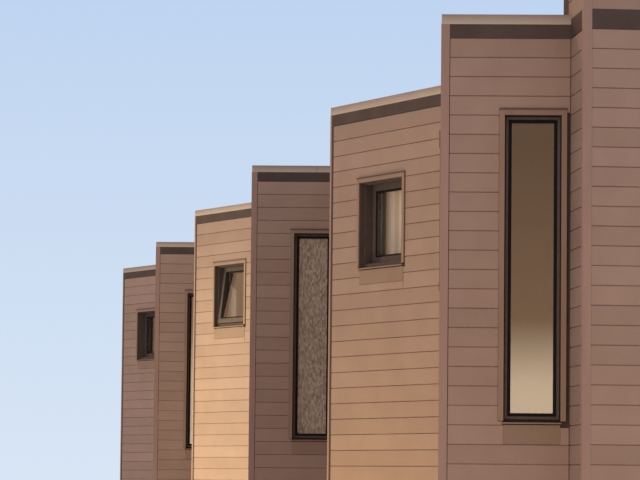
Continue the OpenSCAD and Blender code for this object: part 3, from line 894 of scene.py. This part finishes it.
def film_glass(name):
    """Glass with its metal film, and 1 on the panes that face along the row, which are the tall ones."""
    metal = {"Metallic": 1.0, "Base Color": colour(film)}
    made, tree, surface, place = new_material(name, film_roughness, numbers=metal)
    normal = add(tree, "ShaderNodeNewGeometry").outputs["Normal"]
    facing = add(tree, "ShaderNodeSeparateXYZ", [normal]).outputs
    along_row = add(tree, "ShaderNodeMath", [facing[0]], operation="ABSOLUTE")
    is_tall = add(tree, "ShaderNodeMath", [along_row, 0.9], operation="GREATER_THAN")
    return made, tree, surface, place, is_tall


# Float glass is flat and mirrors sharply. A share of the light is mirrored by the film and the
# rest goes through.
glass, tree, surface, place, is_tall = film_glass("coated_float_glass")
feed(surface["Alpha"], add(tree, "ShaderNodeMapRange", {"Value": is_tall, "To Min": film_share,
                                                        "To Max": tall_film_share}))
dress(glass, "far_window_glass", "near_window_glass")

# Cast glass has pebbles about 14 mm across, drawn at 22 mm because the real ones are too fine to show
glass, tree, surface, place, is_cast = film_glass("coated_float_and_cast_glass")
cloud = clouds(tree, place, pebble_mm, (1, 1, 2))
milky = add(tree, "ShaderNodeValToRGB", [cloud], ((0.35, "#856E5B"), (0.65, "#BB9E84")))
cast = add(tree, "ShaderNodeMix", {"Factor": is_cast, "A": colour(film), "B": milky}, data_type="RGBA")
feed(surface["Base Color"], cast)
for name, clear, pebbled in (("Metallic", 1.0, 0.0), ("Alpha", film_share, cast_share),
                             ("Roughness", film_roughness, cast_roughness)):
    feed(surface[name], add(tree, "ShaderNodeMapRange", {"Value": is_cast, "To Min": clear,
                                                         "To Max": pebbled}))
pebbles = add(tree, "ShaderNodeTexVoronoi", {"Vector": place, "Scale": 1000 / pebble_mm})
raised = add(tree, "ShaderNodeMath", [pebbles, is_cast], operation="MULTIPLY")
feed(surface["Normal"], add(tree, "ShaderNodeBump", {"Height": raised, "Distance": -pebble_depth}))
dress(glass, "middle_window_glass")

# Doors
# Flush-framed doors with three sunk panels, dark brown, each with a lever handle on a round rose.

leaf_in = 0.058
backset = 0.065
handle_x = leaf_in + backset
handle_z = 1.15
lever_out = 0.044
crease = math.radians(35)
rose = [(0, 0), (0.026, 0), (0.026, 0.006), (0.024, 0.008), (0.009, 0.008), (0.009, 0.040),
        (0.010, 0.050), (0.007, 0.053), (0, 0.053)]
lever = [(0, -0.008), (0.006, -0.008), (0.009, -0.004), (0.0085, 0.060), (0.0075, 0.104),
         (0.005, 0.108), (0, 0.108)]

# Satin paint brushed on hardwood keeps a faint grain along the leaf
door_paint = finish("satin_paint_on_hardwood", 0.4, (80, "#3A2D28", "#42342E", (1, 1, 8)),
                    (5, 0.2, (1, 1, 25)))
dress(door_paint, "doors")

# Brushed stainless steel is grey, with fine scratches that blur what it mirrors
steel = finish("brushed_stainless_steel", 0.32, (4, "#8C8A86", "#A3A19C", (12, 12, 1)),
               numbers={"Metallic": 1.0})


def turned_mesh(name, profile, steps=20):
    """A shape turned on a lathe, from radii and heights that start and end on the axis."""
    turns = [2 * math.pi * i / steps for i in range(steps)]
    verts, rings = [], []
    for radius, height in profile:
        ring = [(radius * math.cos(turn), radius * math.sin(turn), height) for turn in turns]
        ring = ring if radius else ring[:1]
        rings.append(range(len(verts), len(verts) + len(ring)))
        verts += ring
    faces = []
    for low, high in zip(rings, rings[1:]):
        for i in range(steps):
            k = (i + 1) % steps
            if len(low) == 1:
                faces.append((low[0], high[i], high[k])[::-1])
            elif len(high) == 1:
                faces.append((low[i], low[k], high[0]))
            else:
                faces.append((low[i], low[k], high[k], high[i]))
    return new_mesh(name, verts, faces=faces)


meshes = []
upright = Vector((0, 0, 1))
for face, opening in [(face, opening) for faces in house_faces for face in faces
                      for opening in openings_in[face.kind] if is_doorway(opening)]:
    seat = face.at(opening.left + handle_x, reveal, handle_z)
    on_leaf = Matrix((face.along, upright, face.out)).transposed().to_4x4()
    across_leaf = Matrix((upright, face.out, face.along)).transposed().to_4x4()
    for profile, turn, out in ((rose, on_leaf, 0.0), (lever, across_leaf, lever_out)):
        mesh = turned_mesh("handle", profile)
        mesh.transform(Matrix.Translation(seat + face.out * out) @ turn)
        mesh.shade_smooth()
        mesh.set_sharp_from_angle(angle=crease)
        mesh.materials.append(steel)
        meshes.append(mesh)
handles = joined("door_handles", meshes)
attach(handles, "root")

# Curtain
# A short cotton curtain inside the near house's upper small window. It hangs from a white track
# on the wall in loose upright folds, and falls just past the window's foot.

wall_t = 0.25
seat_gap = 0.0003
curtain_w = 1.13
curtain_t = 0.050
curtain_top = 5.61
curtain_foot = 4.65
hem_gap = 0.002
cloth_t = 0.0012
cloth_in = 0.012
track_h = 0.016
track_in = 0.004
track_back = 0.006
track_lips = (0.35, 0.65)
track_deep = 0.5
folds = 4.2
fold_out = (0.014, 0.021)
fold_lean = 0.03
shade_band_w = 0.185
shade_band_start = -1.36
slub_share = 0.5
thread_mm = 3
thread_depth = 0.0003
columns, rows = 260, 30
# Slow waves that keep the folds from being alike: how strong, and how many along the track
side_wave = (0.004, 3.1)
width_wave = (0.16, 1.7)
depth_wave = (0.18, 2.6)
depth_start = 1.0

curtain_face = splays[near_house]
curtain_x = small_x + (small[0] - curtain_w) / 2
middle_depth = wall_t + seat_gap + curtain_t / 2


def fold_at(s, down):
    """The cloth's distance along the track and its depth, at shares of its width and its drop."""
    whole = 2 * math.pi
    x = cloth_in + (curtain_w - 2 * cloth_in) * s + side_wave[0] * math.sin(whole * side_wave[1] * s)
    turn = folds * s + width_wave[0] * math.sin(whole * width_wave[1] * s) + fold_lean * down
    deep = fold_out[0] + (fold_out[1] - fold_out[0]) * down
    deep *= 1 - depth_wave[0] + depth_wave[0] * math.cos(whole * depth_wave[1] * s + depth_start)
    return x, deep * math.sin(whole * turn)


verts, unrolled, lengths = [], [], []
for j in range(rows + 1):
    down = j / rows
    z = curtain_top - track_h + (curtain_foot - curtain_top + track_h + hem_gap) * down
    run, before = 0.0, fold_at(0.0, down)
    for i in range(columns + 1):
        x, depth = fold_at(i / columns, down)
        run += math.hypot(x - before[0], depth - before[1])
        before = (x, depth)
        verts.append(curtain_face.at(curtain_x + x, middle_depth + depth, z))
        unrolled.append((run, (1 - down) * (curtain_top - curtain_foot)))
    lengths.append(run)
faces = [(j * (columns + 1) + i, (j + 1) * (columns + 1) + i, (j + 1) * (columns + 1) + i + 1,
          j * (columns + 1) + i + 1) for j in range(rows) for i in range(columns)]
cloth = new_mesh("curtain", verts, faces=faces)
cloth_map = cloth.uv_layers.new(name="weave")
for corner in cloth.loops:
    cloth_map.data[corner.index].uv = unrolled[corner.vertex_index]
cloth.shade_smooth()
curtain = placed("curtain_cloth", cloth)
thick = curtain.modifiers.new("cloth", "SOLIDIFY")
thick.thickness = cloth_t

# Plain woven cotton is dull, with wide soft upright bands of painted light and shade as from folds; its
# threads are drawn 3 mm apart, because the real half millimetre is too fine to show
cotton, tree, surface, place = new_material("plain_woven_cotton", 0.9, 0.2, {"Sheen Weight": 0.2})
flat_map = add(tree, "ShaderNodeUVMap", uv_map="weave").outputs[0]
run = add(tree, "ShaderNodeSeparateXYZ", [flat_map]).outputs[0]
# Painted light and shade in upright bands, 185 mm apart, as from folds in the cloth
turns = add(tree, "ShaderNodeMath", [run, 2 * math.pi / shade_band_w, shade_band_start],
            operation="MULTIPLY_ADD")
wave = add(tree, "ShaderNodeMath", [turns], operation="SINE")
slub = add(tree, "ShaderNodeMath", [clouds(tree, flat_map, 45, (1, 8, 1)), slub_share, wave],
           operation="MULTIPLY_ADD")
shade_bands = add(tree, "ShaderNodeValToRGB", [slub], ((0.0, "#D2C5A4"), (0.5, "#F8F3EA")))
feed(surface["Base Color"], shade_bands)
threads = add(tree, "ShaderNodeTexChecker", {"Vector": flat_map, "Scale": 1000 / thread_mm})
raised = {"Height": threads.outputs["Fac"], "Distance": thread_depth}
feed(surface["Normal"], add(tree, "ShaderNodeBump", raised))
cloth.materials.append(cotton)

# Enamelled aluminium is smooth and white
enamel = finish("white_enamel_on_aluminium", 0.35, (90, "#DAD7D0", "#E4E1DA"))


def track_corners(tree, given):
    """A channel that is open along its foot."""
    height, thick = given["Height"], given["Thickness"]
    lip = add(tree, "ShaderNodeMath", [thick, track_lips[0]], operation="MULTIPLY")
    far = add(tree, "ShaderNodeMath", [thick, track_lips[1]], operation="MULTIPLY")
    deep = add(tree, "ShaderNodeMath", [height, track_deep], operation="MULTIPLY")
    return [(0.0, 0.0), (lip, 0.0), (lip, deep), (far, deep), (far, 0.0), (thick, 0.0), (thick, height),
            (0.0, height)]


track_ends = [curtain_face.at(curtain_x + x, wall_t + curtain_t - track_back, curtain_top - track_h)
              for x in (track_in, curtain_w - track_in)]
track_sweep = sweep_tree("track_on_edge", ("Height", "Thickness"), track_corners)
track_sizes = {"Height": track_h, "Thickness": curtain_t - track_back - seat_gap, "Paint": enamel}
track_line = new_mesh("line", track_ends, [(0, 1)])
track = placed("curtain_track", run_tree(track_sweep, track_line, track_sizes))
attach(track, "root")
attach(curtain, "root")
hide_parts("near_curtain")

# Floor, light and camera
# A pale floor, a soft sky, one low warm key light from the street side, a soft warm lamp on the
# middle house and three low ones for the light that the street throws back. Mirrors see plain
# surroundings: light at the ground, a dark belt, light again above it, and warm to the street.

reach = 2000.0
floor_corners = [plan(-reach, -reach), plan(reach, -reach), plan(reach, reach), plan(-reach, reach)]
floor = placed("floor", new_mesh("floor", floor_corners, faces=[(0, 1, 2, 3)]))
pale, tree, surface, place = new_material("pale_floor", 0.9)
feed(surface["Base Color"], colour("#E4E6E8"))
floor.data.materials.append(pale)

world = bpy.data.worlds.new("sky")
bpy.context.scene.world = world
world.use_nodes = True
tree = world.node_tree
tree.nodes.clear()
place = add(tree, "ShaderNodeTexCoord").outputs["Object"]
across = add(tree, "ShaderNodeSeparateXYZ", [place]).outputs
paths = add(tree, "ShaderNodeLightPath").outputs
sky = add(tree, "ShaderNodeValToRGB", [across[2]], ((0.0, "#D8E5F5"), (0.16, "#BDD3F0")))
surroundings = add(tree, "ShaderNodeValToRGB", [across[2]], (
    (0.030, "#F5DDC0"), (0.050, "#93775F"), (0.120, "#735C4C"), (0.200, "#E4D2B4")))
to_street = add(tree, "ShaderNodeMath", [across[1], -1.0], operation="MULTIPLY", use_clamp=True)
street_side = add(tree, "ShaderNodeMix", {"Factor": to_street, "A": surroundings, "B": colour("#C8A080")},
                  data_type="RGBA")
clear = add(tree, "ShaderNodeMath", [paths["Is Camera Ray"], paths["Is Transmission Ray"]],
            operation="MAXIMUM")
fill = add(tree, "ShaderNodeBackground", {"Color": colour("#E3EEFF"), "Strength": 0.87})
plain_sky = add(tree, "ShaderNodeBackground", {"Color": sky, "Strength": 1.0})
mirrored = add(tree, "ShaderNodeBackground", {"Color": street_side, "Strength": 1.2})
lit = add(tree, "ShaderNodeMixShader", [paths["Is Glossy Ray"], fill, mirrored])
seen = add(tree, "ShaderNodeMixShader", [clear, lit, plain_sky])
add(tree, "ShaderNodeOutputWorld", {"Surface": seen})


def lamp(name, kind, energy, tone, light_from, where=(0, 0, 0), **settings):
    """A lamp that shines from a direction."""
    made = placed(name, bpy.data.lights.new(name, kind))
    made.data.energy = energy
    made.data.color = colour(tone)[:3]
    for key, value in settings.items():
        setattr(made.data, key, value)
    made.location = where
    made.rotation_mode = "QUATERNION"
    made.rotation_quaternion = Vector(light_from).to_track_quat("Z", "Y")
    return made


sun_from = Vector((-0.389, -0.855, 0.342))
lamp("key", "SUN", 0.63, "#FFCF9C", sun_from, angle=math.radians(1.5))
warm_on = Vector((0.65, -4.25, 3.05))
warm_from = Vector((0.0, -0.95, 0.31))
warm_away = 12.0
lamp("warm_lamp", "SPOT", 4020, "#FFFCC2", warm_from, warm_on + warm_away * warm_from,
     spot_size=math.radians(34), spot_blend=1.0, shadow_soft_size=0.8)
# The low lamps light the walls and not the floor or the slab beside them
lit_by_low = bpy.data.collections.new("lit_by_low_lamps")
for piece in bpy.context.scene.objects:
    if piece.type == "MESH" and piece not in (floor, nodes["ground_slab"]):
        lit_by_low.objects.link(piece)
for name, energy, tone, light_from, where, size, spread in (
        ("low_lamp_at_middle", 495, "#FFFAD5", (0.2, -0.95, -0.25), (2.5, -9.5, 0.6), (5.0, 1.5), 180),
        ("low_lamp_at_near", 79, "#FFF09A", (0.1, -0.85, -0.5), (13.2, -5.6, 0.3), (4.0, 1.2), 100),
        ("low_lamp_at_end", 318, "#FFE1AF", (0.9, -0.2, -0.45), (25.0, -2.5, 0.3), (1.2, 4.0), 180)):
    low = lamp(name, "AREA", energy, tone, light_from, where, shape="RECTANGLE", size=size[0],
               size_y=size[1], spread=math.radians(spread))
    low.visible_camera = False
    low.visible_glossy = False
    low.light_linking.receiver_collection = lit_by_low

eye = Vector((42.5066, -1.5089, 2.7124))
focal_px = 3174.0
frame_px = 640.0
pitch = math.radians(4.321)
roll = math.radians(0.588)
yaw = math.radians(-2.270)
sensor = 36.0
away = plan(-math.cos(yaw), math.sin(yaw))
right = plan(math.sin(yaw), math.cos(yaw))
ahead = away * math.cos(pitch) + upright * math.sin(pitch)
up = upright * math.cos(pitch) - away * math.sin(pitch)
right_rolled = right * math.cos(roll) + up * math.sin(roll)
up_rolled = up * math.cos(roll) - right * math.sin(roll)
camera = placed("camera", bpy.data.cameras.new("camera"))
camera.data.sensor_width = sensor
camera.data.lens = focal_px * sensor / frame_px
camera.data.clip_end = 5000
turn = Matrix((right_rolled, up_rolled, -ahead)).transposed()
camera.matrix_world = Matrix.Translation(eye) @ turn.to_4x4()
bpy.context.scene.camera = camera
bpy.context.scene.view_settings.view_transform = "Standard"
